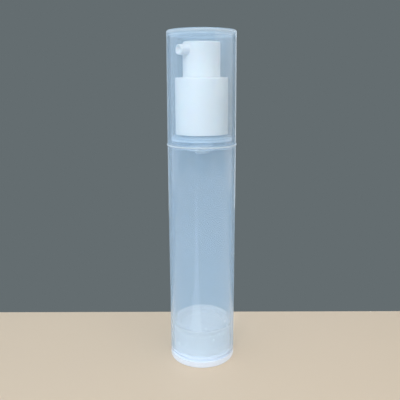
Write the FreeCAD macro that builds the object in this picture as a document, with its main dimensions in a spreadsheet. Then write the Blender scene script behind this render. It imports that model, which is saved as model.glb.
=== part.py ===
import FreeCAD, Part
import math
import os
from types import SimpleNamespace

import Sketcher

# Airless pump bottle: a straight barrel with a snapped-in base, a follower piston that rises as the
# product is used, a pump that snaps over the neck, with a tall collar and a push-down nozzle head, and a
# pull-off overcap.
# Millimetres, +Z up, origin at the centre of the base's underside, nozzle towards -Y.

driving = {
    # bottle barrel
    "bottle_radius": 15.0,
    "bottle_wall": 1.1,
    "barrel_length": 99.1,
    "seat_bead_height": 1.2,
    "seat_bead_reach": 0.3,
    "seat_bead_round": 0.25,
    "seat_thickness": 1.4,
    "spigot_height": 2.1,
    "spigot_wall": 1.25,
    "spigot_ring_rise": 0.5,
    "spigot_ring_height": 1.0,
    "spigot_ring_reach": 0.25,
    "shoulder_thickness": 1.4,
    "shoulder_round": 0.5,
    "bore_round": 0.6,
    "neck_radius": 9.0,
    "neck_wall": 1.2,
    "neck_height": 10.0,
    "neck_bead_reach": 0.5,
    "neck_bead_height": 1.6,
    "neck_bead_drop": 2.4,
    # base plug and its snap groove
    "flange_height": 3.2,
    "base_round": 1.0,
    "foot_width": 2.3,
    "foot_depth": 0.8,
    "base_floor": 1.3,
    "plug_rise": 2.2,
    "plug_wall": 1.2,
    "plug_fit": 0.02,
    "groove_depth": 0.15,
    "groove_height": 0.9,
    "groove_rise": 0.9,
    "groove_slope": 0.2,
    "vent_radius": 0.8,
    # follower piston
    "follower_gap": 0.3,
    "follower_height": 12.9,
    "follower_fit": 0.05,
    "follower_waist": 0.65,
    "follower_wall": 1.1,
    "follower_floor": 1.3,
    "lip_thickness": 0.6,
    "lip_height": 1.2,
    "lip_flare": 1.8,
    "lip_root": 1.05,
    "crown_drop": 1.3,
    "bowl_radius": 9.8,
    "bowl_slope": 0.5,
    "bowl_depth": 1.5,
    "pip_radius": 1.0,
    "pip_height": 0.3,
    # overcap
    "cap_headroom": 3.15,
    "cap_wall": 1.25,
    "cap_top": 1.5,
    "cap_draft": 0.27,
    "cap_fit": 0.05,
    "cap_gap": 0.05,
    "cap_round": 0.7,
    "ceiling_round": 0.5,
    "gate_radius": 1.6,
    "gate_depth": 0.3,
    # pump housing and gasket
    "gasket_thickness": 1.0,
    "chamber_radius": 4.2,
    "chamber_wall": 0.9,
    "chamber_floor": 1.15,
    "nipple_radius": 3.0,
    "nipple_length": 1.5,
    "nipple_chamfer": 0.3,
    "inlet_radius": 1.2,
    "cone_depth": 0.7,
    "housing_flange": 1.2,
    "housing_rise": 2.4,
    "seal_ring_wall": 0.85,
    "seal_ring_height": 2.8,
    "seal_ring_fit": 0.05,
    # inlet valve
    "ball_radius": 2.0,
    "ball_lift": 0.8,
    "ball_gap": 0.05,
    "cage_fit": 0.03,
    "cage_play": 0.15,
    "cage_bar": 0.6,
    "cage_slot_width": 1.2,
    "cage_slot_reach": 2.9,
    # piston group
    "press_stroke": 5.5,
    "stop_gap": 0.3,
    "rest_gap": 0.05,
    "stem_radius": 2.4,
    "stem_bore": 1.55,
    "stem_shoulder_radius": 3.4,
    "stem_shoulder_height": 0.95,
    "stem_tail_radius": 3.2,
    "stem_tail_height": 1.6,
    "seal_float": 0.6,
    "seal_web": 0.95,
    "seal_hole": 1.85,
    "seal_fit": 0.05,
    "seal_lip_thickness": 0.5,
    "seal_lip_height": 0.6,
    "seal_relief": 0.2,
    "seal_drop": 0.65,
    "seal_height": 3.6,
    "rod_head_radius": 3.1,
    "rod_head_height": 1.2,
    "rod_head_bevel": 0.5,
    "rod_fit": 0.03,
    "rod_length": 7.6,
    "rod_flute_width": 0.8,
    "rod_core": 0.8,
    "rod_flutes": 3,
    # guide bush
    "bush_length": 3.0,
    "bush_fit": 0.02,
    "bush_flange": 1.0,
    "bush_flange_radius": 5.6,
    "stem_fit": 0.05,
    # snap closure
    "closure_height": 10.8,
    "closure_wall": 0.6,
    "closure_fit": 0.05,
    "closure_plate": 1.2,
    "closure_play": 0.1,
    "hook_height": 1.9,
    "hook_land": 0.6,
    "slot_width": 1.0,
    "slot_height": 5.8,
    "slot_count": 6,
    # collar sleeve
    "sleeve_gap": 1.9,
    "sleeve_length": 23.8,
    "sleeve_wall": 1.2,
    "sleeve_fit": 0.05,
    "sleeve_plate": 1.2,
    "sleeve_ledge": 0.9,
    "sleeve_ledge_height": 1.0,
    "sleeve_round": 0.6,
    "mouth_round": 0.3,
    # actuator, nozzle and nozzle insert
    "actuator_radius": 8.0,
    "actuator_gap": 0.25,
    "actuator_height": 21.0,
    "actuator_wall": 1.1,
    "actuator_top": 1.4,
    "actuator_round": 0.8,
    "boss_radius": 3.5,
    "boss_drop": 14.7,
    "socket_depth": 6.0,
    "socket_fit": 0.05,
    "riser_radius": 1.4,
    "rib_drop": 8.6,
    "rib_width": 0.9,
    "rib_count": 6,
    "nozzle_drop": 3.4,
    "nozzle_radius": 2.1,
    "nozzle_reach": 12.0,
    "nozzle_bore": 1.0,
    "nozzle_round": 0.35,
    "nozzle_root_round": 0.3,
    "insert_radius": 1.5,
    "insert_length": 3.2,
    "insert_recess": 0.5,
    "insert_fit": 0.03,
    "insert_bore": 0.7,
    "insert_flare": 0.5,
    # return spring
    "wire_radius": 0.4,
    "coil_radius": 4.75,
    "coil_turns": 7,
}


class Size:
    # A length as a number, together with the sheet expression that gives it.
    def __init__(self, value, text):
        self.value = value
        self.text = text

    def join(self, other, sign, value):
        return Size(value, "(%s %s %s)" % (self.text, sign, as_size(other).text))

    def __add__(self, other):
        return self.join(other, "+", self.value + as_size(other).value)

    def __sub__(self, other):
        return self.join(other, "-", self.value - as_size(other).value)

    def __mul__(self, other):
        return self.join(other, "*", self.value * as_size(other).value)

    def __truediv__(self, other):
        return self.join(other, "/", self.value / as_size(other).value)


def as_size(thing):
    return thing if isinstance(thing, Size) else Size(float(thing), repr(float(thing)))


def fill_sheet(values):
    sheet = doc.addObject("Spreadsheet::Sheet", "sizes")
    for row, (name, value) in enumerate(values.items(), start=1):
        sheet.set("A%d" % row, name)
        sheet.set("B%d" % row, str(value))
        sheet.setAlias("B%d" % row, name)
    doc.recompute()
    return sheet


# ---- sketches and features, each bound to the sheet ----

def new_body(label, level=None):
    body = doc.addObject("PartDesign::Body", label)
    body.Label = label
    if level is not None:
        body.setExpression("Placement.Base.z", level.text)
    return body


def new_sketch(body, name, role, offset=None):
    plane = next(item for item in body.Origin.OriginFeatures if item.Role == role)
    sketch = body.newObject("Sketcher::SketchObject", name)
    sketch.AttachmentSupport = [(plane, "")]
    sketch.MapMode = "FlatFace"
    if offset is not None:
        sketch.setExpression("AttachmentOffset.Base.z", offset.text)
    return sketch


def bind(sketch, constraint, size):
    index = sketch.addConstraint(constraint)
    sketch.setExpression("Constraints[%d]" % index, size.text)


def pin_point(sketch, piece, end, across, up):
    for kind, size, axis in (("DistanceX", as_size(across), -2), ("DistanceY", as_size(up), -1)):
        if abs(size.value) < 1e-9:
            sketch.addConstraint(Sketcher.Constraint("PointOnObject", piece, end, axis))
        elif size.value > 0:
            bind(sketch, Sketcher.Constraint(kind, -1, 1, piece, end, size.value), size)
        else:
            bind(sketch, Sketcher.Constraint(kind, piece, end, -1, 1, -size.value), size * -1)


def draw_outline(sketch, corners):
    points = [FreeCAD.Vector(as_size(x).value, as_size(y).value, 0) for x, y in corners]
    count = len(points)
    for i in range(count):
        sketch.addGeometry(Part.LineSegment(points[i], points[(i + 1) % count]), False)
    for i in range(count):
        sketch.addConstraint(Sketcher.Constraint("Coincident", i, 2, (i + 1) % count, 1))
    for i, (x, y) in enumerate(corners):
        pin_point(sketch, i, 1, x, y)


def draw_circle(sketch, across, up, radius):
    centre = FreeCAD.Vector(as_size(across).value, as_size(up).value, 0)
    circle = Part.Circle(centre, FreeCAD.Vector(0, 0, 1), radius.value)
    piece = sketch.addGeometry(circle, False)
    pin_point(sketch, piece, 3, across, up)
    bind(sketch, Sketcher.Constraint("Radius", piece, radius.value), radius)


def turn(body, name, corners):
    # Turns a closed outline of (radius, height) corners about the body's Z axis.
    sketch = new_sketch(body, name + "_outline", "XZ_Plane")
    draw_outline(sketch, corners)
    feature = body.newObject("PartDesign::Revolution", name)
    feature.Profile = sketch
    feature.ReferenceAxis = (sketch, ["V_Axis"])
    feature.Angle = 360
    return feature


def pad(body, name, sketch, length):
    feature = body.newObject("PartDesign::Pad", name)
    feature.Profile = sketch
    feature.setExpression("Length", length.text)
    return feature


def pocket(body, name, sketch, length, along_normal=False):
    doc.recompute()
    before = body.Tip.Shape.Volume
    feature = body.newObject("PartDesign::Pocket", name)
    feature.Profile = sketch
    feature.setExpression("Length", length.text)
    feature.Reversed = along_normal
    doc.recompute()
    if feature.Shape.Volume > before - 1e-3:
        raise ValueError(name + " cuts nothing")
    return feature


def repeat_round(body, name, feature, sketch, count):
    pattern = body.newObject("PartDesign::PolarPattern", name)
    pattern.Originals = [feature]
    pattern.Axis = (sketch, ["N_Axis"])
    pattern.Angle = 360
    pattern.setExpression("Occurrences", count.text)
    body.Tip = pattern
    return pattern


def round_edges(body, name, radius, rings):
    # Rounds the circular edges named by (radius, centre x, y, z).
    doc.recompute()
    base = body.Tip
    names = []
    for ring_radius, *centre in rings:
        middle = FreeCAD.Vector(*[as_size(part).value for part in centre])
        for number, edge in enumerate(base.Shape.Edges, start=1):
            curve = edge.Curve
            if not isinstance(curve, Part.Circle):
                continue
            if abs(curve.Radius - ring_radius.value) < 1e-4 and curve.Center.distanceToPoint(middle) < 1e-4:
                names.append("Edge%d" % number)
    if len(names) < len(rings):
        raise ValueError(name + " finds too few edges")
    feature = body.newObject("PartDesign::Fillet", name)
    feature.Base = (base, names)
    feature.setExpression("Radius", radius.text)
    return feature


# ---- levels and radii that several pieces share ----

def work_out_levels(s):
    at = SimpleNamespace()
    at.bore = s.bottle_radius - s.bottle_wall
    at.cap_bore = s.bottle_radius - s.cap_wall
    at.seat = s.flange_height + s.barrel_length
    at.cap = at.seat + s.cap_gap
    at.shoulder = at.seat + s.spigot_height
    at.neck = at.shoulder + s.neck_height
    at.housing_flange = at.neck + s.gasket_thickness
    at.closure_top = at.housing_flange + s.housing_flange + s.closure_plate
    at.housing_top = at.housing_flange + s.housing_flange + s.housing_rise
    at.sleeve = at.shoulder + s.sleeve_gap
    at.bush = at.housing_top - s.bush_length
    at.bush_top = at.housing_top + s.bush_flange
    at.actuator = at.closure_top + s.press_stroke + s.stop_gap
    at.actuator_top = at.actuator + s.actuator_height
    at.nozzle = at.actuator_top - s.nozzle_drop
    at.rib = at.actuator_top - s.rib_drop
    at.stem = at.bush - s.rest_gap - s.stem_shoulder_height - s.stem_tail_height
    at.stem_top = at.actuator_top - s.boss_drop + s.socket_depth - s.rest_gap
    at.web = at.stem - s.seal_float - s.seal_web
    at.seal = at.web - s.seal_drop
    at.rod = at.web - s.rest_gap - s.rod_head_height
    at.cage_top = at.rod - s.press_stroke - s.stop_gap
    # a ball on a 45 degree cone touches it at sin 45 of its radius
    at.ball_over_floor = s.ball_radius * math.sqrt(2) - s.inlet_radius - s.cone_depth + s.ball_gap
    at.cage_ceiling = at.ball_over_floor + s.ball_radius + s.ball_lift + s.ball_gap
    at.cage_height = at.cage_ceiling + s.cage_bar
    at.chamber_floor = at.cage_top - at.cage_height
    at.housing = at.chamber_floor - s.chamber_floor - s.nipple_length
    at.ball = at.chamber_floor + at.ball_over_floor
    at.closure = at.closure_top - s.closure_height
    at.closure_bore = s.neck_radius + s.neck_bead_reach + s.closure_fit
    at.closure_radius = at.closure_bore + s.closure_wall
    at.sleeve_bore = at.closure_radius + s.sleeve_fit
    at.sleeve_radius = at.sleeve_bore + s.sleeve_wall
    at.housing_radius = s.chamber_radius + s.chamber_wall
    return at


# ---- bottle ----

def make_barrel(s, at):
    # Local zero is the barrel's lower end.
    body = new_body("bottle_barrel", s.flange_height)
    seat = s.barrel_length
    shoulder = seat + s.spigot_height
    neck_top = shoulder + s.neck_height
    spigot = at.cap_bore - s.cap_fit - s.spigot_ring_reach
    ring = spigot + s.spigot_ring_reach
    ring_low = seat + s.spigot_ring_rise
    ring_high = ring_low + s.spigot_ring_height
    bead_radius = s.neck_radius + s.neck_bead_reach
    bead_top = neck_top - s.neck_bead_drop
    bead_low = bead_top - s.neck_bead_height
    groove = at.bore + s.groove_depth
    groove_top = s.groove_rise + s.groove_height
    turn(body, "barrel_shell", [
        (at.bore, 0),
        (s.bottle_radius, 0),
        (s.bottle_radius, seat - s.seat_bead_height),
        (s.bottle_radius + s.seat_bead_reach, seat - s.seat_bead_height),
        (s.bottle_radius + s.seat_bead_reach, seat),
        (spigot, seat),
        (spigot, ring_low),
        (ring, ring_low + s.spigot_ring_reach),
        (ring, ring_high - s.spigot_ring_reach),
        (spigot, ring_high),
        (spigot, shoulder),
        (s.neck_radius, shoulder),
        (s.neck_radius, bead_low),
        (bead_radius, bead_low),
        (bead_radius, bead_low + s.neck_bead_height / 2),
        (s.neck_radius, bead_top),
        (s.neck_radius, neck_top),
        (s.neck_radius - s.neck_wall, neck_top),
        (s.neck_radius - s.neck_wall, shoulder - s.shoulder_thickness),
        (spigot - s.spigot_wall, shoulder - s.shoulder_thickness),
        (spigot - s.spigot_wall, seat - s.seat_thickness),
        (at.bore, seat - s.seat_thickness),
        (at.bore, groove_top),
        (groove, groove_top - s.groove_slope),
        (groove, s.groove_rise + s.groove_slope),
        (at.bore, s.groove_rise),
    ])
    outer = s.bottle_radius + s.seat_bead_reach
    round_edges(body, "barrel_bead_round", s.seat_bead_round,
                [(outer, 0, 0, seat), (outer, 0, 0, seat - s.seat_bead_height)])
    round_edges(body, "barrel_shoulder_round", s.shoulder_round,
                [(spigot, 0, 0, shoulder), (s.neck_radius, 0, 0, shoulder)])
    round_edges(body, "barrel_bore_round", s.bore_round, [(at.bore, 0, 0, seat - s.seat_thickness)])
    return body


def make_base(s, at):
    body = new_body("base_plug")
    foot = s.bottle_radius - s.foot_width
    floor_top = s.foot_depth + s.base_floor
    plug = at.bore - s.plug_fit
    bead = plug + s.groove_depth - s.plug_fit
    bead_low = s.flange_height + s.groove_rise
    bead_top = bead_low + s.groove_height
    plug_top = s.flange_height + s.plug_rise
    turn(body, "base_shell", [
        (s.vent_radius, s.foot_depth),
        (foot, s.foot_depth),
        (foot, 0),
        (s.bottle_radius, 0),
        (s.bottle_radius, s.flange_height),
        (plug, s.flange_height),
        (plug, bead_low),
        (bead, bead_low + s.groove_slope),
        (bead, bead_top - s.groove_slope),
        (plug, bead_top),
        (plug, plug_top),
        (plug - s.plug_wall, plug_top),
        (plug - s.plug_wall, floor_top),
        (s.vent_radius, floor_top),
    ])
    round_edges(body, "base_round", s.base_round, [(s.bottle_radius, 0, 0, 0)])
    return body


def make_follower(s, at):
    # A cup that opens downwards, with a lip at each end and a bowl in its crown for the pump's inlet.
    body = new_body("follower_piston", s.flange_height + s.plug_rise + s.follower_gap)
    top = s.follower_height
    lip = at.bore - s.follower_fit
    lip_inner = lip - s.lip_thickness
    waist = lip - s.follower_waist
    inner = waist - s.follower_wall
    flare = s.lip_height + s.lip_flare
    crown = top - s.crown_drop
    bowl_floor = crown - s.bowl_depth
    turn(body, "follower_shell", [
        (lip_inner, 0),
        (lip, 0),
        (lip, s.lip_height),
        (waist, flare),
        (waist, top - flare),
        (lip, top - s.lip_height),
        (lip, top),
        (lip_inner, top),
        (lip - s.lip_root, crown),
        (s.bowl_radius + s.bowl_slope, crown),
        (s.bowl_radius, bowl_floor),
        (s.pip_radius, bowl_floor),
        (s.pip_radius, bowl_floor + s.pip_height),
        (0, bowl_floor + s.pip_height),
        (0, bowl_floor - s.follower_floor),
        (inner, bowl_floor - s.follower_floor),
        (inner, flare),
    ])
    return body


def make_overcap(s, at):
    body = new_body("overcap", at.cap)
    ceiling = at.actuator_top + s.cap_headroom - at.cap
    top = ceiling + s.cap_top
    ceiling_radius = at.cap_bore - s.cap_draft * ceiling / top
    turn(body, "cap_shell", [
        (at.cap_bore, 0),
        (s.bottle_radius, 0),
        (s.bottle_radius - s.cap_draft, top),
        (s.gate_radius, top),
        (s.gate_radius, top - s.gate_depth),
        (0, top - s.gate_depth),
        (0, ceiling),
        (ceiling_radius, ceiling),
    ])
    round_edges(body, "cap_round", s.cap_round, [(s.bottle_radius - s.cap_draft, 0, 0, top)])
    round_edges(body, "cap_ceiling_round", s.ceiling_round, [(ceiling_radius, 0, 0, ceiling)])
    return body


# ---- pump, fixed pieces ----

def make_gasket(s, at):
    body = new_body("neck_gasket", at.neck)
    inner = s.neck_radius - s.neck_wall
    turn(body, "gasket_ring", [
        (inner, 0),
        (s.neck_radius, 0),
        (s.neck_radius, s.gasket_thickness),
        (inner, s.gasket_thickness),
    ])
    return body


def make_housing(s, at):
    # Local zero is the mouth of the inlet nipple.
    body = new_body("pump_housing", at.housing)
    floor_low = s.nipple_length
    floor = floor_low + s.chamber_floor
    flange = at.housing_flange - at.housing
    flange_top = flange + s.housing_flange
    top = flange_top + s.housing_rise
    ring = s.neck_radius - s.neck_wall - s.seal_ring_fit
    turn(body, "housing_shell", [
        (s.inlet_radius, 0),
        (s.nipple_radius - s.nipple_chamfer, 0),
        (s.nipple_radius, s.nipple_chamfer),
        (s.nipple_radius, floor_low),
        (at.housing_radius, floor_low),
        (at.housing_radius, flange),
        (ring - s.seal_ring_wall, flange),
        (ring - s.seal_ring_wall, flange - s.seal_ring_height),
        (ring, flange - s.seal_ring_height),
        (ring, flange),
        (s.neck_radius, flange),
        (s.neck_radius, flange_top),
        (at.housing_radius, flange_top),
        (at.housing_radius, top),
        (s.chamber_radius, top),
        (s.chamber_radius, floor),
        (s.inlet_radius + s.cone_depth, floor),
        (s.inlet_radius, floor - s.cone_depth),
    ])
    return body


def make_ball(s, at):
    ball = doc.addObject("Part::Sphere", "inlet_ball")
    ball.Label = "inlet_ball"
    ball.setExpression("Radius", s.ball_radius.text)
    ball.setExpression("Placement.Base.z", at.ball.text)
    return ball


def make_cage(s, at):
    # Holds the inlet ball over its seat; a cross of flow slots runs through it from end to end.
    body = new_body("ball_cage", at.chamber_floor)
    outer = s.chamber_radius - s.cage_fit
    inner = s.ball_radius + s.cage_play
    turn(body, "cage_shell", [
        (inner, 0),
        (outer, 0),
        (outer, at.cage_height),
        (0, at.cage_height),
        (0, at.cage_ceiling),
        (inner, at.cage_ceiling),
    ])
    half = s.cage_slot_width / 2
    sketch = new_sketch(body, "cage_slot_outline", "XY_Plane")
    draw_outline(sketch, [
        (0, half * -1),
        (s.cage_slot_reach, half * -1),
        (s.cage_slot_reach, half),
        (0, half),
    ])
    slot = pocket(body, "cage_slot", sketch, at.cage_height, along_normal=True)
    repeat_round(body, "cage_slots", slot, sketch, as_size(4))
    return body


def make_bush(s, at):
    body = new_body("guide_bush", at.bush)
    hole = s.stem_radius + s.stem_fit
    plug = s.chamber_radius - s.bush_fit
    turn(body, "bush_shell", [
        (hole, 0),
        (plug, 0),
        (plug, s.bush_length),
        (s.bush_flange_radius, s.bush_length),
        (s.bush_flange_radius, s.bush_length + s.bush_flange),
        (hole, s.bush_length + s.bush_flange),
    ])
    return body


def make_closure(s, at):
    # A slotted ring whose inward hook catches under the neck's bead and clamps the housing's flange.
    body = new_body("snap_closure", at.closure)
    hook_top = at.neck - s.neck_bead_drop - s.neck_bead_height - s.closure_play - at.closure
    hook_radius = s.neck_radius + s.closure_play
    plate = s.closure_height - s.closure_plate
    hole = at.housing_radius + s.closure_play
    turn(body, "closure_shell", [
        (at.closure_bore, 0),
        (at.closure_radius, 0),
        (at.closure_radius, s.closure_height),
        (hole, s.closure_height),
        (hole, plate),
        (at.closure_bore, plate),
        (at.closure_bore, hook_top),
        (hook_radius, hook_top),
        (hook_radius, hook_top - s.hook_land),
        (at.closure_bore, hook_top - s.hook_height),
    ])
    half = s.slot_width / 2
    sketch = new_sketch(body, "closure_slot_outline", "XY_Plane")
    draw_outline(sketch, [
        (hook_radius - s.closure_wall, half * -1),
        (at.closure_radius + s.closure_wall, half * -1),
        (at.closure_radius + s.closure_wall, half),
        (hook_radius - s.closure_wall, half),
    ])
    slot = pocket(body, "closure_slot", sketch, s.slot_height, along_normal=True)
    repeat_round(body, "closure_slots", slot, sketch, s.slot_count)
    return body


def make_sleeve(s, at):
    body = new_body("collar_sleeve", at.sleeve)
    mouth = s.actuator_radius + s.actuator_gap
    under = s.sleeve_length - s.sleeve_plate
    ledge = at.closure_top - at.sleeve
    turn(body, "sleeve_shell", [
        (at.sleeve_bore, 0),
        (at.sleeve_radius, 0),
        (at.sleeve_radius, s.sleeve_length),
        (mouth, s.sleeve_length),
        (mouth, under),
        (at.sleeve_bore, under),
        (at.sleeve_bore, ledge + s.sleeve_ledge_height),
        (at.sleeve_bore - s.sleeve_ledge, ledge + s.sleeve_ledge_height),
        (at.sleeve_bore - s.sleeve_ledge, ledge),
        (at.sleeve_bore, ledge),
    ])
    round_edges(body, "sleeve_round", s.sleeve_round, [(at.sleeve_radius, 0, 0, s.sleeve_length)])
    round_edges(body, "sleeve_mouth_round", s.mouth_round, [(mouth, 0, 0, s.sleeve_length)])
    return body


# ---- pump, moving pieces ----

def make_stem(s, at):
    body = new_body("pump_stem", at.stem)
    tail = s.stem_tail_height
    shoulder = tail + s.stem_shoulder_height
    top = at.stem_top - at.stem
    turn(body, "stem_shell", [
        (s.stem_bore, 0),
        (s.stem_tail_radius, 0),
        (s.stem_tail_radius, tail),
        (s.stem_shoulder_radius, tail),
        (s.stem_shoulder_radius, shoulder),
        (s.stem_radius, shoulder),
        (s.stem_radius, top),
        (s.stem_bore, top),
    ])
    return body


def make_rod(s, at):
    # Its head closes the seal's hole from below; its fluted shank stands in the stem's bore.
    body = new_body("piston_rod", at.rod)
    shank = s.stem_bore - s.rod_fit
    head = s.rod_head_height
    top = head + s.rod_length
    turn(body, "rod_shell", [
        (0, 0),
        (s.rod_head_radius, 0),
        (s.rod_head_radius, head - s.rod_head_bevel),
        (s.rod_head_radius - s.rod_head_bevel, head),
        (shank, head),
        (shank, top),
        (0, top),
    ])
    half = s.rod_flute_width / 2
    sketch = new_sketch(body, "rod_flute_outline", "XY_Plane", offset=top)
    draw_outline(sketch, [
        (s.rod_core, half * -1),
        (s.stem_bore + s.rod_core, half * -1),
        (s.stem_bore + s.rod_core, half),
        (s.rod_core, half),
    ])
    flute = pocket(body, "rod_flute", sketch, s.rod_length)
    repeat_round(body, "rod_flutes", flute, sketch, s.rod_flutes)
    return body


def make_seal(s, at):
    # A soft ring with a lip up and a lip down, free to float between the rod's head and the stem.
    body = new_body("piston_seal", at.seal)
    outer = s.chamber_radius - s.seal_fit
    inner = outer - s.seal_lip_thickness
    relief = outer - s.seal_relief
    top = s.seal_height
    web_top = s.seal_drop + s.seal_web
    turn(body, "seal_shell", [
        (s.seal_hole, s.seal_drop),
        (inner, s.seal_drop),
        (inner, 0),
        (outer, 0),
        (outer, s.seal_lip_height),
        (relief, s.seal_lip_height + s.seal_relief),
        (relief, top - s.seal_lip_height - s.seal_relief),
        (outer, top - s.seal_lip_height),
        (outer, top),
        (inner, top),
        (inner, web_top),
        (s.seal_hole, web_top),
    ])
    return body


def make_actuator(s, at):
    # Local zero is the skirt's lower edge.
    body = new_body("actuator", at.actuator)
    top = s.actuator_height
    under = top - s.actuator_top
    skirt = s.actuator_radius - s.actuator_wall
    boss_low = top - s.boss_drop
    rib_low = top - s.rib_drop
    nozzle = top - s.nozzle_drop
    turn(body, "actuator_shell", [
        (skirt, 0),
        (s.actuator_radius, 0),
        (s.actuator_radius, top),
        (0, top),
        (0, boss_low),
        (s.boss_radius, boss_low),
        (s.boss_radius, under),
        (skirt, under),
    ])
    round_edges(body, "actuator_round", s.actuator_round, [(s.actuator_radius, 0, 0, top)])
    half = s.rib_width / 2
    rib_sketch = new_sketch(body, "rib_outline", "XY_Plane", offset=rib_low)
    draw_outline(rib_sketch, [
        (s.boss_radius - half, half * -1),
        (skirt + half, half * -1),
        (skirt + half, half),
        (s.boss_radius - half, half),
    ])
    rib = pad(body, "rib", rib_sketch, under - rib_low + half)
    repeat_round(body, "ribs", rib, rib_sketch, s.rib_count)
    nozzle_sketch = new_sketch(body, "nozzle_outline", "XZ_Plane")
    draw_circle(nozzle_sketch, 0, nozzle, s.nozzle_radius)
    pad(body, "nozzle", nozzle_sketch, s.nozzle_reach)
    round_edges(body, "nozzle_round", s.nozzle_round,
                [(s.nozzle_radius, 0, s.nozzle_reach * -1, nozzle)])
    round_nozzle_root(s, body)
    cut_channels(s, body, boss_low, nozzle)
    return body


def round_nozzle_root(s, body):
    # Blends the nozzle's tube into the head's wall along the curve where they meet.
    doc.recompute()
    base = body.Tip
    names = []
    for number, edge in enumerate(base.Shape.Edges, start=1):
        middle = edge.valueAt((edge.FirstParameter + edge.LastParameter) / 2)
        on_wall = abs(math.hypot(middle.x, middle.y) - s.actuator_radius.value) < 1e-3
        if on_wall and not isinstance(edge.Curve, (Part.Circle, Part.Line)):
            names.append("Edge%d" % number)
    if not names:
        raise ValueError("the nozzle meets no wall")
    feature = body.newObject("PartDesign::Fillet", "nozzle_root_round")
    feature.Base = (base, names)
    feature.setExpression("Radius", s.nozzle_root_round.text)


def cut_channels(s, body, boss_low, nozzle):
    socket_sketch = new_sketch(body, "socket_outline", "XY_Plane", offset=boss_low)
    draw_circle(socket_sketch, 0, 0, s.stem_radius + s.socket_fit)
    pocket(body, "socket", socket_sketch, s.socket_depth, along_normal=True)
    riser_sketch = new_sketch(body, "riser_outline", "XY_Plane", offset=boss_low)
    draw_circle(riser_sketch, 0, 0, s.riser_radius)
    pocket(body, "riser", riser_sketch, nozzle + s.riser_radius - boss_low, along_normal=True)
    bore_sketch = new_sketch(body, "nozzle_bore_outline", "XZ_Plane")
    draw_circle(bore_sketch, 0, nozzle, s.nozzle_bore)
    pocket(body, "nozzle_bore", bore_sketch, s.nozzle_reach, along_normal=True)
    seat_depth = s.insert_length + s.insert_recess + s.insert_fit
    seat_sketch = new_sketch(body, "insert_seat_outline", "XZ_Plane", offset=s.nozzle_reach - seat_depth)
    draw_circle(seat_sketch, 0, nozzle, s.insert_radius)
    pocket(body, "insert_seat", seat_sketch, seat_depth, along_normal=True)


def make_insert(s, at):
    # Turned about its own Z axis, which the placement lays along -Y in the nozzle's mouth.
    body = new_body("nozzle_insert", at.nozzle)
    body.Placement = FreeCAD.Placement(FreeCAD.Vector(), FreeCAD.Rotation(FreeCAD.Vector(1, 0, 0), 90))
    start = s.insert_length + s.insert_recess - s.nozzle_reach
    body.setExpression("Placement.Base.y", start.text)
    outer = s.insert_radius - s.insert_fit
    turn(body, "insert_shell", [
        (s.insert_bore, 0),
        (outer, 0),
        (outer, s.insert_length),
        (s.insert_bore + s.insert_flare, s.insert_length),
        (s.insert_bore, s.insert_length - s.insert_flare),
    ])
    return body


# ---- return spring ----

def arc_from(start, tangent, end):
    chord = end - start
    side = chord - tangent * chord.dot(tangent)
    side.normalize()
    radius = chord.Length ** 2 / (2 * chord.dot(side))
    centre = start + side * radius
    outward = (start + end) * 0.5 - centre
    outward.normalize()
    return Part.Arc(start, centre + outward * radius, end)


def biarc(start, start_tangent, end, end_tangent):
    # Two arcs that leave start and reach end along the given tangents.
    chord = end - start
    both = chord.dot(start_tangent + end_tangent)
    spread = 2 * (1 - start_tangent.dot(end_tangent))
    reach = (math.sqrt(both ** 2 + spread * chord.dot(chord)) - both) / spread
    middle = (start + end + (start_tangent - end_tangent) * reach) * 0.5
    second = arc_from(end, end_tangent * -1, middle)
    return [arc_from(start, start_tangent, middle), second]


def coil_point(share, radius, turns, low, rise):
    # Turns lie closer at the two ends than in the middle, as on a wound spring.
    closing = 0.4
    angle = 2 * math.pi * turns * share
    full = 2 * math.pi * share
    height = low + rise * (share - closing * math.sin(full) / (2 * math.pi))
    climb = rise * (1 - closing * math.cos(full))
    place = FreeCAD.Vector(radius * math.cos(angle), radius * math.sin(angle), height)
    run = 2 * math.pi * turns * radius
    tangent = FreeCAD.Vector(-run * math.sin(angle), run * math.cos(angle), climb)
    tangent.normalize()
    return place, tangent


def least_gap(points, wire_radius, half_turn):
    nearest = min(points[i].distanceToPoint(points[j])
                  for i in range(len(points)) for j in range(i + half_turn, len(points)))
    return nearest - 2 * wire_radius


def make_spring(s, at, sheet):
    wire_radius = sheet.wire_radius
    turns = int(sheet.coil_turns)
    low = at.bush_top.value + wire_radius + sheet.rest_gap
    rise = at.rib.value - wire_radius - sheet.rest_gap - low
    quarters = 4 * turns
    stations = [coil_point(i / quarters, sheet.coil_radius, turns, low, rise) for i in range(quarters + 1)]
    arcs = []
    for (start, start_tangent), (end, end_tangent) in zip(stations, stations[1:]):
        arcs += biarc(start, start_tangent, end, end_tangent)
    path = Part.Wire(Part.__sortEdges__([arc.toShape() for arc in arcs]))
    section = Part.Wire(Part.Circle(stations[0][0], stations[0][1], wire_radius).toShape())
    spring = doc.addObject("Part::Feature", "return_spring")
    spring.Label = "return_spring"
    spring.Shape = path.makePipeShell([section], True, False)
    spring.Placement = FreeCAD.Placement()
    steps = 16
    samples = [coil_point(i / (steps * turns), sheet.coil_radius, turns, low, rise)[0]
               for i in range(steps * turns + 1)]
    print("spring: least gap between turns %.2f mm" % least_gap(samples, wire_radius, steps // 2))
    expected = math.pi * wire_radius ** 2 * path.Length
    print("spring: volume %.2f of %.2f mm3" % (spring.Shape.Volume, expected))
    return spring


# ---- the whole bottle ----

def check(pieces):
    for item in doc.Objects:
        if "Invalid" in item.State or "Error" in item.State:
            raise ValueError("%s did not rebuild: %s" % (item.Name, item.State))
    for piece in pieces:
        shape = piece.Shape
        if shape.isNull() or not shape.isValid() or len(shape.Solids) != 1:
            raise ValueError("%s has no single valid solid" % piece.Label)


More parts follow.
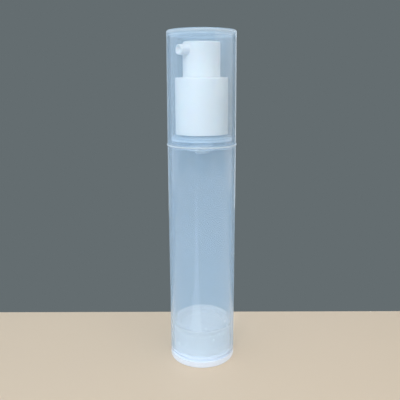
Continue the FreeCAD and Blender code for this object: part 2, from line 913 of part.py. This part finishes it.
def write_parts(pieces):
    os.makedirs("parts", exist_ok=True)
    for piece in pieces:
        piece.Shape.exportStep("parts/%s.step" % piece.Label)
        print("%-16s %9.2f mm3" % (piece.Label, piece.Shape.Volume))


doc = FreeCAD.newDocument("airless_pump_bottle")
sizes = fill_sheet(driving)
named = SimpleNamespace(**{name: Size(float(value), "sizes." + name) for name, value in driving.items()})
levels = work_out_levels(named)
makers = (make_barrel, make_base, make_follower, make_overcap, make_gasket, make_housing, make_ball,
          make_cage, make_bush, make_closure, make_sleeve, make_stem, make_rod, make_seal,
          make_actuator, make_insert)
parts = [maker(named, levels) for maker in makers]
parts.append(make_spring(named, levels, sizes))
doc.recompute()
check(parts)
write_parts(parts)
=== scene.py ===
import math

import bmesh
import bpy
from mathutils import Matrix, Vector
from mathutils.bvhtree import BVHTree


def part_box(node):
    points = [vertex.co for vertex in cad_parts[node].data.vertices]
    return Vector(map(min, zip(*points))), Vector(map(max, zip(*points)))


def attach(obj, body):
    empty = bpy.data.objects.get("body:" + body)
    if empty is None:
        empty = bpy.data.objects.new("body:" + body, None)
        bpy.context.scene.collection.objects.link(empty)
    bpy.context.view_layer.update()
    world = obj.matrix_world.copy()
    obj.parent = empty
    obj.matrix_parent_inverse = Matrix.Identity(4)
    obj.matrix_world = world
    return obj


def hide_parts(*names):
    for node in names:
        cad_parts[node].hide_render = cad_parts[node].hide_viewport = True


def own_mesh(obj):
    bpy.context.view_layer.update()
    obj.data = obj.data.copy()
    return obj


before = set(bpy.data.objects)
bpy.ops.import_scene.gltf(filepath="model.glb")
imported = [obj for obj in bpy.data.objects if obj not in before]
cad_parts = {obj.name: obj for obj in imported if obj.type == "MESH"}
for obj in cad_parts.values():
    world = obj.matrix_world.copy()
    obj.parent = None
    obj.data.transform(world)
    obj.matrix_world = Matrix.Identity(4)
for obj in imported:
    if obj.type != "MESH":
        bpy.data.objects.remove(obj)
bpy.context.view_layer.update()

mm = 0.001

meshing = {
    "steps": 160,         # faces round a turned piece
    "rounding": 6,        # faces along a rounded corner
    "cuts": ((40, 19), (12, 7), (5, 3), (1.6, 1)),  # edges of an outline over this many mm get so many cuts
    "seam": 0.0005,       # mm, points nearer than this are one
    "copySeam": 1e-6,     # m, the same in a copied CAD mesh
    "sharpAngle": 38,     # degrees
}

haze = {
    "usualWall": 1.1,     # mm
    "thinnest": 1.0,      # mm, no wall counts as thinner
    "skin": 0.01,         # mm under the face, where a ray for the wall's thickness starts
}


# ---- colours, nodes and materials ----

def colour(hexCode, alpha=1.0):
    # sRGB hex to the linear values that shaders take
    channels = [int(hexCode[i:i + 2], 16) / 255 for i in (1, 3, 5)]
    return tuple(c / 12.92 if c <= 0.04045 else ((c + 0.055) / 1.055) ** 2.4 for c in channels) + (alpha,)


def addNode(tree, kind, settings=None, links=None):
    node = tree.nodes.new(kind)
    for name, value in (settings or {}).items():
        if isinstance(name, str) and hasattr(node, name):
            setattr(node, name, value)
        else:
            node.inputs[name].default_value = value
    for name, source in (links or {}).items():
        tree.links.new(source, node.inputs[name])
    return node


def mouldedPlastic(name, look):
    # Injection-moulded plastic: faint flow clouds in the colour, a skin whose gloss wanders a little
    # from place to place, and the fine grain of the mould's polish as bump.
    material = bpy.data.materials.new(name)
    material.use_nodes = True
    tree = material.node_tree
    shader = tree.nodes["Principled BSDF"]
    for socket, value in look["shader"].items():
        shader.inputs[socket].default_value = value
    place = addNode(tree, "ShaderNodeTexCoord").outputs["Object"]
    flow = addNode(tree, "ShaderNodeTexNoise", {"Scale": 1 / (look["flowSize"] * mm), "Detail": 3.0},
                   {"Vector": place})
    tint = addNode(tree, "ShaderNodeMix", {"data_type": "RGBA", 6: colour(look["colour"]),
                                           7: colour(look["flowColour"])}, {0: flow.outputs["Fac"]})
    tree.links.new(tint.outputs[2], shader.inputs["Base Color"])
    skin = addNode(tree, "ShaderNodeTexNoise", {"Scale": 1 / (look["skinSize"] * mm), "Detail": 4.0},
                   {"Vector": place})
    smoothest, roughest = look["roughness"]
    gloss = addNode(tree, "ShaderNodeMapRange", {"From Min": 0.3, "From Max": 0.7,
                                                 "To Min": smoothest, "To Max": roughest},
                    {"Value": skin.outputs["Fac"]})
    tree.links.new(gloss.outputs["Result"], shader.inputs["Roughness"])
    grain = addNode(tree, "ShaderNodeTexNoise", {"Scale": 1 / (look["grainSize"] * mm), "Detail": 2.0},
                    {"Vector": place})
    bump = addNode(tree, "ShaderNodeBump", {"Strength": look["grainStrength"],
                                            "Distance": look["grainDepth"] * mm},
                   {"Height": grain.outputs["Fac"]})
    tree.links.new(bump.outputs["Normal"], shader.inputs["Normal"])
    return material


def milkyPlastic(name, look):
    # Unpigmented moulding: a clear body and a haze that scatters light back and onwards. The haze grows
    # with the wall's thickness, and where the wall is seen edge on, as light runs longer in it. It is
    # bluish where it is thin and whiter where it is thick.
    material = mouldedPlastic(name, look)
    tree = material.node_tree
    clear = tree.nodes["Principled BSDF"]
    skin = clear.inputs["Normal"].links[0].from_socket
    wall = addNode(tree, "ShaderNodeAttribute", {"attribute_name": "wall"}).outputs["Fac"]
    edge = addNode(tree, "ShaderNodeLayerWeight", {"Blend": 0.5}).outputs["Facing"]
    lean = addNode(tree, "ShaderNodeMath", {"operation": "POWER", 1: look["edgePower"]}, {0: edge})
    slant = addNode(tree, "ShaderNodeMath", {"operation": "MULTIPLY_ADD", 1: look["edgeGain"], 2: 1.0},
                    {0: lean.outputs[0]})
    path = addNode(tree, "ShaderNodeMath", {"operation": "MULTIPLY"}, {0: wall, 1: slant.outputs[0]})
    # each wall has two faces, and each takes half of its haze
    passed = addNode(tree, "ShaderNodeMath", {"operation": "POWER", 0: look["clearPerMm"] ** 0.5},
                     {1: path.outputs[0]})
    milk = addNode(tree, "ShaderNodeMix", {"data_type": "RGBA", 6: colour(look["thickColour"]),
                                           7: colour(look["thinColour"])}, {0: passed.outputs[0]})
    back = addNode(tree, "ShaderNodeBsdfPrincipled", {"Roughness": look["hazeRoughness"], "IOR": 1.49},
                   {"Base Color": milk.outputs[2], "Normal": skin})
    onward = addNode(tree, "ShaderNodeBsdfTranslucent", {"Color": colour(look["onwardColour"])},
                     {"Normal": skin})
    scattered = addNode(tree, "ShaderNodeMixShader", {0: look["onward"]},
                        {1: back.outputs[0], 2: onward.outputs[0]})
    body = addNode(tree, "ShaderNodeMixShader", {},
                   {0: passed.outputs[0], 1: scattered.outputs[0], 2: clear.outputs[0]})
    # light passes on to what is inside, softened by the haze
    shade = addNode(tree, "ShaderNodeBsdfTransparent", {"Color": colour(look["shadeColour"])})
    shadow = addNode(tree, "ShaderNodeLightPath").outputs["Is Shadow Ray"]
    both = addNode(tree, "ShaderNodeMixShader", {},
                   {0: shadow, 1: body.outputs[0], 2: shade.outputs[0]})
    tree.links.new(both.outputs[0], tree.nodes["Material Output"].inputs["Surface"])
    return material


# Polypropylene homopolymer, injection moulded in a polished mould: see-through up close under a cool
# milky haze, with a glossy skin.
milkyPolypropylene = milkyPlastic("milkyPolypropylene", {
    "colour": "#fbfcfd", "flowColour": "#f6f9fb", "flowSize": 14.0,
    "roughness": (0.05, 0.10), "skinSize": 3.0,
    "grainSize": 0.6, "grainStrength": 0.012, "grainDepth": 0.01,
    "thinColour": "#a5d8ff", "thickColour": "#e8f2f8", "hazeRoughness": 0.25, "onwardColour": "#dcebf9",
    "onward": 0.45, "clearPerMm": 0.60, "edgeGain": 1.3, "edgePower": 2.5, "shadeColour": "#f8f9fa",
    "shader": {"IOR": 1.49, "Transmission Weight": 1.0},
})

# The overcap's grade of the same plastic, moulded a little clearer.
clearPolypropylene = milkyPlastic("clearPolypropylene", {
    "colour": "#fbfcfd", "flowColour": "#f6f9fb", "flowSize": 14.0,
    "roughness": (0.06, 0.10), "skinSize": 3.0,
    "grainSize": 0.6, "grainStrength": 0.02, "grainDepth": 0.01,
    "thinColour": "#a5d8ff", "thickColour": "#d9e3e8", "hazeRoughness": 0.25, "onwardColour": "#dcebf9",
    "onward": 0.45, "clearPerMm": 0.70, "edgeGain": 1.0, "edgePower": 3.0, "shadeColour": "#f8f9fa",
    "shader": {"IOR": 1.49, "Transmission Weight": 1.0},
})

# The same plastic in the thick base plug, where it scatters nearly all light and reads white.
thickPolypropylene = milkyPlastic("thickPolypropylene", {
    "colour": "#f8fbff", "flowColour": "#f2f7fd", "flowSize": 10.0,
    "roughness": (0.10, 0.18), "skinSize": 2.5,
    "grainSize": 0.5, "grainStrength": 0.08, "grainDepth": 0.01,
    "thinColour": "#eaf1fb", "thickColour": "#ebf2fc", "hazeRoughness": 0.3, "onwardColour": "#f0f7ff",
    "onward": 0.2, "clearPerMm": 0.15, "edgeGain": 1.0, "edgePower": 3.0, "shadeColour": "#eef1f4",
    "shader": {"IOR": 1.49, "Transmission Weight": 1.0},
})

# Natural low-density polyethylene, softer and waxier than the barrel's plastic.
naturalPolyethylene = milkyPlastic("naturalPolyethylene", {
    "colour": "#f6fafd", "flowColour": "#eef4fa", "flowSize": 8.0,
    "roughness": (0.18, 0.28), "skinSize": 2.0,
    "grainSize": 0.5, "grainStrength": 0.08, "grainDepth": 0.015,
    "thinColour": "#e6e9ea", "thickColour": "#e8e6e2", "hazeRoughness": 0.5, "onwardColour": "#f0f1f1",
    "onward": 0.6, "clearPerMm": 0.30, "edgeGain": 0.5, "edgePower": 2.5, "shadeColour": "#f0f2f3",
    "shader": {"IOR": 1.51, "Transmission Weight": 1.0},
})

# White-pigmented polypropylene, semi-gloss.
whitePolypropylene = mouldedPlastic("whitePolypropylene", {
    "colour": "#e9e9e7", "flowColour": "#e4e5e4", "flowSize": 9.0,
    "roughness": (0.26, 0.36), "skinSize": 2.0,
    "grainSize": 0.4, "grainStrength": 0.12, "grainDepth": 0.01,
    "shader": {"IOR": 1.49, "Subsurface Weight": 0.15, "Subsurface Scale": 0.6 * mm},
})

# Unpigmented polypropylene of the pump's inner mouldings.
naturalPolypropylene = mouldedPlastic("naturalPolypropylene", {
    "colour": "#e6ecf1", "flowColour": "#dbe3ea", "flowSize": 6.0,
    "roughness": (0.28, 0.38), "skinSize": 1.5,
    "grainSize": 0.4, "grainStrength": 0.15, "grainDepth": 0.01,
    "shader": {"IOR": 1.49, "Transmission Weight": 0.25},
})

# Soft low-density polyethylene of the gasket and the pump's seal, matt.
softPolyethylene = mouldedPlastic("softPolyethylene", {
    "colour": "#eef0ef", "flowColour": "#e4e8e7", "flowSize": 4.0,
    "roughness": (0.45, 0.58), "skinSize": 1.2,
    "grainSize": 0.3, "grainStrength": 0.25, "grainDepth": 0.01,
    "shader": {"IOR": 1.51},
})

# Drawn and polished stainless steel of the spring and the valve's ball.
stainlessSteel = mouldedPlastic("stainlessSteel", {
    "colour": "#c9cacc", "flowColour": "#bfc1c4", "flowSize": 2.0,
    "roughness": (0.18, 0.28), "skinSize": 0.8,
    "grainSize": 0.15, "grainStrength": 0.15, "grainDepth": 0.004,
    "shader": {"Metallic": 1.0},
})


# ---- meshes ----

def lathe(outline):
    # Spins an outline of (radius, height, corner rounding) in mm about Z. An outline that starts
    # and ends on the axis stays open there, any other one is closed.
    shape = bmesh.new()
    corners = [shape.verts.new((radius, 0, height)) for radius, height, rounding in outline]
    for first, second in zip(corners, corners[1:]):
        shape.edges.new((first, second))
    if outline[0][0] > 0:
        shape.edges.new((corners[-1], corners[0]))
    for corner, (radius, height, rounding) in zip(corners, outline):
        if rounding > 0:
            bmesh.ops.bevel(shape, geom=[corner], offset=rounding, offset_type="OFFSET", affect="VERTICES",
                            segments=meshing["rounding"], profile=0.5, material=-1)
    for length, cuts in meshing["cuts"]:
        long = [edge for edge in shape.edges if edge.calc_length() > length]
        bmesh.ops.subdivide_edges(shape, edges=long, cuts=cuts)
    bmesh.ops.spin(shape, geom=shape.verts[:] + shape.edges[:], cent=(0, 0, 0), axis=(0, 0, 1),
                   dvec=(0, 0, 0), angle=2 * math.pi, steps=meshing["steps"], use_merge=True)
    bmesh.ops.remove_doubles(shape, verts=shape.verts[:], dist=meshing["seam"])
    bmesh.ops.recalc_face_normals(shape, faces=shape.faces[:])
    return shape


def markWall(shape, deepest, bands):
    # Stores a measure of how thick the wall is behind each ring of vertices, for the haze: mm for a usual
    # wall, more in a lump, up to the deepest. A band of (low, high, least radius, measure) has a measure
    # of its own: where another piece bears on the wall and shows through it, and where a ring is set
    # clearer or milkier than its thickness gives, to read darker or lighter; most of these are painted
    # shade and painted light.
    wall = shape.verts.layers.float.new("wall")
    shape.normal_update()
    inside = BVHTree.FromBMesh(shape)
    rings = {}
    for vert in shape.verts:
        radius, height = round(vert.co.xy.length, 3), round(vert.co.z, 3)
        if (radius, height) not in rings:
            start = vert.co - vert.normal * haze["skin"]
            hit, _, _, depth = inside.ray_cast(start, -vert.normal)
            milk = max(depth, haze["thinnest"]) ** 2 / haze["usualWall"] if hit else haze["thinnest"]
            given = [measure for low, high, least, measure in bands
                     if low < height < high and radius >= least]
            rings[radius, height] = given[0] if given else min(milk, deepest)
        vert[wall] = rings[radius, height]


def makePiece(name, shape, material, body, node, deepest, bands=()):
    # Turns a mm bmesh into a metre object in place of its CAD node.
    markWall(shape, deepest, bands)
    bmesh.ops.translate(shape, verts=shape.verts[:], vec=(0, 0, level(node)))
    bmesh.ops.scale(shape, verts=shape.verts[:], vec=(mm, mm, mm))
    mesh = bpy.data.meshes.new(name)
    shape.to_mesh(mesh)
    shape.free()
    piece = bpy.data.objects.new(name, mesh)
    bpy.context.collection.objects.link(piece)
    finishPiece(piece, material, body, node)
    return piece


def finishPiece(piece, material, body, node):
    # Smooths and dresses a piece, puts it under its body and hides the CAD node it stands in for.
    mesh = piece.data
    mesh.polygons.foreach_set("use_smooth", [True] * len(mesh.polygons))
    mesh.set_sharp_from_angle(angle=math.radians(meshing["sharpAngle"]))
    mesh.materials.clear()
    mesh.materials.append(material)
    weighted = piece.modifiers.new("weightedNormals", "WEIGHTED_NORMAL")
    weighted.keep_sharp = True
    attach(piece, body)
    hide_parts(node)


def level(node):
    # height of a CAD node's lowest point, in mm
    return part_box(node)[0][2] / mm


def smoothCopy(name, node, material, body):
    # A merged, smooth-shaded copy of a CAD node's own mesh.
    shape = bmesh.new()
    shape.from_mesh(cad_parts[node].data)
    bmesh.ops.remove_doubles(shape, verts=shape.verts[:], dist=meshing["copySeam"])
    mesh = bpy.data.meshes.new(name)
    shape.to_mesh(mesh)
    shape.free()
    piece = bpy.data.objects.new(name, mesh)
    bpy.context.collection.objects.link(piece)
    finishPiece(piece, material, body, node)
    return piece


# ---- bottle ----

barrel = {
    "radius": 15.0, "bore": 13.9, "seat": 99.1, "seatThickness": 1.4, "seatEdge": 14.95,
    "beadReach": 0.28, "beadRoot": 98.0, "beadLow": 98.15, "beadTop": 98.62,
    "spigot": 13.4, "spigotBore": 12.15, "ring": 13.65, "ringLow": 99.6, "ringHigh": 100.6,
    "shoulder": 102.2, "shoulderUnder": 99.8, "neck": 9.0, "neckBore": 7.8, "neckTop": 111.2,
    "neckBead": 9.5, "neckBeadLow": 107.2, "neckBeadMiddle": 108.0, "neckBeadTop": 108.8,
    "groove": 14.05, "grooveLow": 0.9, "grooveTop": 1.8, "grooveSlope": 0.2, "plugTop": 2.2,
    "joint": -0.01,  # bears on the base, so that no dark gap shows
    "ringSlope": 0.25,
    # beadShade: how far under the seat's underside a ring lies, inside the band that paints shade below the
    # bead
    "foot": 0.12, "footRing": 0.22, "bandEdge": 0.05, "beadShade": 0.2,  # rings where the haze changes
    "deepest": 8.0,
    # bands: clearer where the barrel bears on the base plug, which shows through; a usual wall's haze under
    # the bead though the seat lies behind it, painted shade below the bead; clearer on the seat, the spigot
    # up to its ring and the shoulder's underside, painted shade; milkier on the spigot above its ring and on
    # the shoulder, painted light
    "bands": ((0.1, 2.22, 0, 0.4), (96.9, 98.01, 0, 1.0), (98.85, 100.5, 0, 0.35), (101.0, 102.3, 0, 3.0)),
}
b = barrel
barrelShape = lathe([
    (b["bore"], b["joint"], 0.1),
    (b["radius"], b["joint"], 0.06),
    (b["radius"], b["foot"], 0),
    (b["radius"], b["footRing"], 0),
    (b["radius"], b["plugTop"] - b["bandEdge"], 0),
    (b["radius"], b["plugTop"] + b["bandEdge"], 0),
    (b["radius"], b["seat"] - b["seatThickness"] - b["beadShade"], 0),
    (b["radius"], b["beadRoot"], 0),
    (b["radius"] + b["beadReach"], b["beadLow"], 0.1),
    (b["radius"] + b["beadReach"], b["beadTop"], 0.15),
    (b["seatEdge"], b["seat"], 0.12),
    (b["spigot"], b["seat"], 0.15),
    (b["spigot"], b["ringLow"], 0.05),
    (b["ring"], b["ringLow"] + b["ringSlope"], 0.12),
    (b["ring"], b["ringHigh"] - b["ringSlope"], 0.12),
    (b["spigot"], b["ringHigh"], 0.05),
    (b["spigot"], b["shoulder"], 0.55),
    (b["neck"], b["shoulder"], 0.5),
    (b["neck"], b["neckBeadLow"], 0),
    (b["neckBead"], b["neckBeadLow"], 0.12),
    (b["neckBead"], b["neckBeadMiddle"], 0.15),
    (b["neck"], b["neckBeadTop"], 0.1),
    (b["neck"], b["neckTop"], 0.2),
    (b["neckBore"], b["neckTop"], 0.2),
    (b["neckBore"], b["shoulderUnder"], 0.3),
    (b["spigotBore"], b["shoulderUnder"], 0.5),
    (b["spigotBore"], b["seat"] - b["seatThickness"], 0.3),
    (b["bore"], b["seat"] - b["seatThickness"], 0.6),
    (b["bore"], b["plugTop"] + b["bandEdge"], 0),
    (b["bore"], b["plugTop"] - b["bandEdge"], 0),
    (b["bore"], b["grooveTop"], 0),
    (b["groove"], b["grooveTop"] - b["grooveSlope"], 0),
    (b["groove"], b["grooveLow"] + b["grooveSlope"], 0),
    (b["bore"], b["grooveLow"], 0),
])
makePiece("barrelShell", barrelShape, milkyPolypropylene, "bottle", "bottle_barrel",
          b["deepest"], b["bands"])
print("barrel made")

base = {
    "radius": 15.0, "flange": 3.2, "foot": 12.7, "recess": 0.8, "floorTop": 2.1, "plug": 13.88,
    "bead": 14.0, "beadLow": 4.1, "beadTop": 5.0, "beadSlope": 0.2, "plugTop": 5.4, "plugBore": 12.68,
    "vent": 0.8, "deepest": 1.6,
}
b = base
baseShape = lathe([
    (b["vent"], b["recess"], 0.15),
    (b["foot"], b["recess"], 0.3),
    (b["foot"], 0, 0.3),
    (b["radius"], 0, 1.0),
    (b["radius"], b["flange"], 0.06),
    (b["plug"], b["flange"], 0),
    (b["plug"], b["beadLow"], 0),
    (b["bead"], b["beadLow"] + b["beadSlope"], 0),
    (b["bead"], b["beadTop"] - b["beadSlope"], 0),
    (b["plug"], b["beadTop"], 0),
    (b["plug"], b["plugTop"], 0.2),
    (b["plugBore"], b["plugTop"], 0.3),
    (b["plugBore"], b["floorTop"], 0.5),
    (b["vent"], b["floorTop"], 0.15),
])
makePiece("baseShell", baseShape, thickPolypropylene, "bottle", "base_plug", b["deepest"])
print("base made")

follower = {
    "lip": 13.85, "lipInner": 13.25, "lipHeight": 1.2, "waist": 13.2, "bore": 12.1, "flare": 3.0,
    "height": 12.9, "root": 12.8, "crown": 11.6, "bowlEdge": 10.3, "bowl": 9.8, "bowlFloor": 10.1,
    "under": 8.8, "pip": 1.0, "pipTop": 10.4, "deepest": 1.3,
    # bands: the lower part up to the waist takes the deepest measure; the upper lip and the flare under it
    # are set milkier, painted light where the flare is shaded; the bowl, the crown and the lip's top are set
    # clearer, partly the thin crown's own clearness and partly painted shade
    "bands": ((-0.1, 9.0, 0, 1.3), (9.0, 12.3, 13.1, 1.8), (9.0, 11.61, 0, 0.85), (11.61, 13.0, 0, 0.5)),
}
f = follower
followerShape = lathe([
    (0, f["pipTop"], 0),
    (f["pip"], f["pipTop"], 0.12),
    (f["pip"], f["bowlFloor"], 0.1),
    (f["bowl"], f["bowlFloor"], 0.4),
    (f["bowlEdge"], f["crown"], 0.3),
    (f["root"], f["crown"], 0.2),
    (f["lipInner"], f["height"], 0.15),
    (f["lip"], f["height"], 0.15),
    (f["lip"], f["height"] - f["lipHeight"], 0.2),
    (f["waist"], f["height"] - f["flare"], 0.5),
    (f["waist"], f["flare"], 0.5),
    (f["lip"], f["lipHeight"], 0.2),
    (f["lip"], 0, 0.15),
    (f["lipInner"], 0, 0.15),
    (f["bore"], f["flare"], 0.5),
    (f["bore"], f["under"], 0.6),
    (0, f["under"], 0),
])
makePiece("followerShell", followerShape, naturalPolyethylene, "follower", "follower_piston",
          f["deepest"], f["bands"])
print("follower made")

overcap = {
    "mouth": 15.0, "bore": 13.75, "topRadius": 14.73, "height": 46.9, "ceiling": 45.4,
    "ceilingRadius": 13.49, "gate": 1.6, "gateFloor": 46.6, "shoulder": 45.0, "shoulderRadius": 14.741,
    "deepest": 8.0,
    # bands: the ceiling's rounded corner is set milkier than its thickness, a painted highlight along it;
    # the ceiling and the top face are set clearer than their thickness, so the top reads darker
    "bands": ((45.02, 45.38, 0, 5.5), (45.38, 45.42, 0, 1.0), (46.85, 46.95, 0, 1.2)),
}
c = overcap
overcapShape = lathe([
    (0, c["gateFloor"], 0),
    (c["gate"], c["gateFloor"], 0.12),
    (c["gate"], c["height"], 0.15),
    (c["topRadius"], c["height"], 0.8),
    (c["shoulderRadius"], c["shoulder"], 0),
    (c["mouth"], 0, 0.3),
    (c["bore"], 0, 0.25),
    (c["ceilingRadius"], c["ceiling"], 0.35),
    (0, c["ceiling"], 0),
])
makePiece("overcapShell", overcapShape, clearPolypropylene, "overcap", "overcap",
          c["deepest"], c["bands"])
print("overcap made")


# ---- pump ----

sleeve = {
    "radius": 11.4, "bore": 10.2, "length": 23.8, "mouth": 8.25, "under": 22.6,
    "ledge": 9.3, "ledgeLow": 11.5, "ledgeTop": 12.5, "deepest": 4.0,
}
s = sleeve
sleeveShape = lathe([
    (s["bore"], 0, 0.2),
    (s["radius"], 0, 0.2),
    (s["radius"], s["length"], 0.65),
    (s["mouth"], s["length"], 0.35),
    (s["mouth"], s["under"], 0.1),
    (s["bore"], s["under"], 0.4),
    (s["bore"], s["ledgeTop"], 0.1),
    (s["ledge"], s["ledgeTop"], 0.1),
    (s["ledge"], s["ledgeLow"], 0.1),
    (s["bore"], s["ledgeLow"], 0),
])
makePiece("collarShell", sleeveShape, whitePolypropylene, "bottle", "collar_sleeve",
          s["deepest"])
print("collar made")

for name, node, material, body, slot in (
    ("pushHead", "actuator", whitePolypropylene, "push_head", "white_pp"),
    ("nozzleInsert", "nozzle_insert", whitePolypropylene, "push_head", "white_pp"),
    ("pumpHousing", "pump_housing", naturalPolypropylene, "bottle", "natural_pp"),
    ("guideBush", "guide_bush", naturalPolypropylene, "bottle", "natural_pp"),
    ("snapClosure", "snap_closure", naturalPolypropylene, "bottle", "natural_pp"),
    ("neckGasket", "neck_gasket", softPolyethylene, "bottle", "soft_pe"),
    ("ballCage", "ball_cage", naturalPolypropylene, "bottle", "natural_pp"),
    ("inletBall", "inlet_ball", stainlessSteel, "ball", "steel"),
    ("pumpStem", "pump_stem", naturalPolypropylene, "plunger", "natural_pp"),
    ("pistonRod", "piston_rod", naturalPolypropylene, "plunger", "natural_pp"),
    ("pistonSeal", "piston_seal", softPolyethylene, "seal", "soft_pe"),
):
    smoothCopy(name, node, material, body)

# The real spring shortens from its seat up as the head comes down; here it only gets a mesh of its own.
coil = smoothCopy("returnSpring", "return_spring", stainlessSteel, "bottle")
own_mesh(coil)
print("pump made")


# ---- floor, light and camera ----

# Fitted to the rims seen in the photo, in mm and degrees.
camera = {
    "azimuth": 50.0, "distance": 221.47, "height": 130.05, "pitch": 13.676, "roll": -0.16,
    "lens": 45.31, "film": 36.0, "shift": -0.00472,
    "near": 0.01, "far": 20.0,  # m
}

studio = {"light": "#eaf6ff", "strength": 0.58, "backdrop": "#646d70"}

# Lamps aim no higher than the bottle's middle. The strip on the floor shows only as the long streak mirrored
# in the wall, and the low fill only lights.
lamps = {"aim": 75, "lowest": 10, "onlyMirrored": "floorStrip", "neverMirrored": "lowFill"}

floor = {
    "width": 900.0, "front": 500.0, "behind": 43.0, "under": 0.02, "colour": "#cebfab", "roughness": 0.6,
}


def makeFloor():
    # A pale table top whose far edge runs square to the camera, not far behind the bottle.
    f = floor
    shape = bmesh.new()
    bmesh.ops.create_grid(shape, x_segments=1, y_segments=1, size=0.5)
    bmesh.ops.scale(shape, verts=shape.verts[:], vec=(f["width"] * mm, (f["front"] + f["behind"]) * mm, 1))
    bmesh.ops.translate(shape, verts=shape.verts[:],
                        vec=(0, (f["behind"] - f["front"]) * mm / 2, -f["under"] * mm))
    bmesh.ops.rotate(shape, verts=shape.verts[:],
                     matrix=Matrix.Rotation(math.radians(camera["azimuth"]), 3, "Z"))
    mesh = bpy.data.meshes.new("floor")
    shape.to_mesh(mesh)
    shape.free()
    piece = bpy.data.objects.new("floor", mesh)
    bpy.context.collection.objects.link(piece)
    material = bpy.data.materials.new("paleFloor")
    material.use_nodes = True
    shader = material.node_tree.nodes["Principled BSDF"]
    shader.inputs["Base Color"].default_value = colour(f["colour"])
    shader.inputs["Roughness"].default_value = f["roughness"]
    mesh.materials.append(material)


def makeWorld():
    # Diffuse light comes from a soft even sky; what is seen straight, mirrored or through the
    # plastic is the plain backdrop.
    world = bpy.data.worlds.new("studio")
    world.use_nodes = True
    bpy.context.scene.world = world
    tree = world.node_tree
    path = addNode(tree, "ShaderNodeLightPath").outputs
    seen = addNode(tree, "ShaderNodeMath", {"operation": "MAXIMUM"},
                   {0: path["Is Glossy Ray"], 1: path["Is Transmission Ray"]})
    direct = addNode(tree, "ShaderNodeMath", {"operation": "LESS_THAN", 1: 0.5},
                     {0: path["Diffuse Depth"]})
    through = addNode(tree, "ShaderNodeMath", {"operation": "MULTIPLY"},
                      {0: seen.outputs[0], 1: direct.outputs[0]})
    shown = addNode(tree, "ShaderNodeMath", {"operation": "MAXIMUM"},
                    {0: path["Is Camera Ray"], 1: through.outputs[0]})
    sky = tree.nodes["Background"]
    sky.inputs["Color"].default_value = colour(studio["light"])
    sky.inputs["Strength"].default_value = studio["strength"]
    backdrop = addNode(tree, "ShaderNodeBackground", {"Color": colour(studio["backdrop"]), "Strength": 1.0})
    both = addNode(tree, "ShaderNodeMixShader", {},
                   {0: shown.outputs[0], 1: sky.outputs[0], 2: backdrop.outputs[0]})
    tree.links.new(both.outputs[0], tree.nodes["World Output"].inputs["Surface"])


def addLamp(name, azimuth, height, distance, width, tall, power, tint, spread=180):
    # A soft box that faces the bottle's axis, from above or straight across. The lowest lies face up on the
    # floor. Azimuth 0 is the side that the nozzle points to. Lamps stay out of sight.
    lamp = bpy.data.lights.new(name, "AREA")
    lamp.shape = "RECTANGLE"
    lamp.size = width * mm
    lamp.size_y = tall * mm
    lamp.energy = power
    lamp.spread = math.radians(spread)
    lamp.color = colour(tint)[:3]
    holder = bpy.data.objects.new(name, lamp)
    bpy.context.collection.objects.link(holder)
    turn = math.radians(azimuth)
    spot = Vector((math.sin(turn) * distance, -math.cos(turn) * distance, height)) * mm
    target = Vector((0, 0, min(lamps["aim"], height) * mm))
    holder.location = spot
    holder.rotation_mode = "QUATERNION"
    if height < lamps["lowest"]:
        faceUp = Matrix.Rotation(turn, 3, "Z") @ Matrix.Rotation(math.pi, 3, "X")
        holder.rotation_quaternion = faceUp.to_quaternion()
    else:
        holder.rotation_quaternion = (target - spot).to_track_quat("-Z", "Y")
    holder.visible_camera = False
    holder.visible_transmission = False
    holder.visible_diffuse = name != lamps["onlyMirrored"]
    holder.visible_glossy = name != lamps["neverMirrored"]


def makeCamera():
    view = bpy.data.cameras.new("camera")
    view.sensor_width = camera["film"]
    view.lens = camera["lens"]
    view.shift_x = camera["shift"]
    view.clip_start = camera["near"]
    view.clip_end = camera["far"]
    holder = bpy.data.objects.new("camera", view)
    bpy.context.collection.objects.link(holder)
    turn = math.radians(camera["azimuth"])
    holder.location = Vector((math.sin(turn) * camera["distance"], -math.cos(turn) * camera["distance"],
                              camera["height"])) * mm
    facing = Matrix.Rotation(turn, 4, "Z") @ Matrix.Rotation(math.radians(90 - camera["pitch"]), 4, "X")
    holder.rotation_euler = (facing @ Matrix.Rotation(math.radians(camera["roll"]), 4, "Z")).to_euler()
    bpy.context.scene.camera = holder


# Soft boxes: name, degrees to the right of the camera, height, distance, width and tallness in mm, power in
# watts, tint, and the beam in degrees where it is narrow.
softBoxes = [
    ("keyBox", -62, 600, 700, 520, 520, 1.4, "#fbfcff"),
    ("windowBox", -19, 430, 600, 80, 200, 1.35, "#f6fbff"),
    ("topBox", 10, 620, 260, 420, 420, 1.3, "#fff2e4"),
    ("lowFill", -10, 30, 260, 200, 40, 0.006, "#fbf9f4", 30),
    ("rightBox", 60, 300, 700, 420, 420, 0.75, "#ffead2"),
    ("leftSide", -100, 150, 600, 420, 420, 0.50, "#f0f7ff"),
    ("rightSide", 100, 150, 600, 420, 420, 0.54, "#ffe4c8"),
    ("floorStrip", -18, 4, 210, 28, 340, 0.036, "#f4faff"),
    ("leftRim", -158, 140, 600, 260, 460, 0.14, "#eef6ff"),
    ("rightRim", 158, 140, 600, 260, 460, 0.30, "#f4f8ff"),
]
makeFloor()
makeWorld()
for boxName, turned, *box in softBoxes:
    addLamp(boxName, camera["azimuth"] + turned, *box)
makeCamera()
bpy.context.scene.view_settings.view_transform = "Standard"
print("stage made")
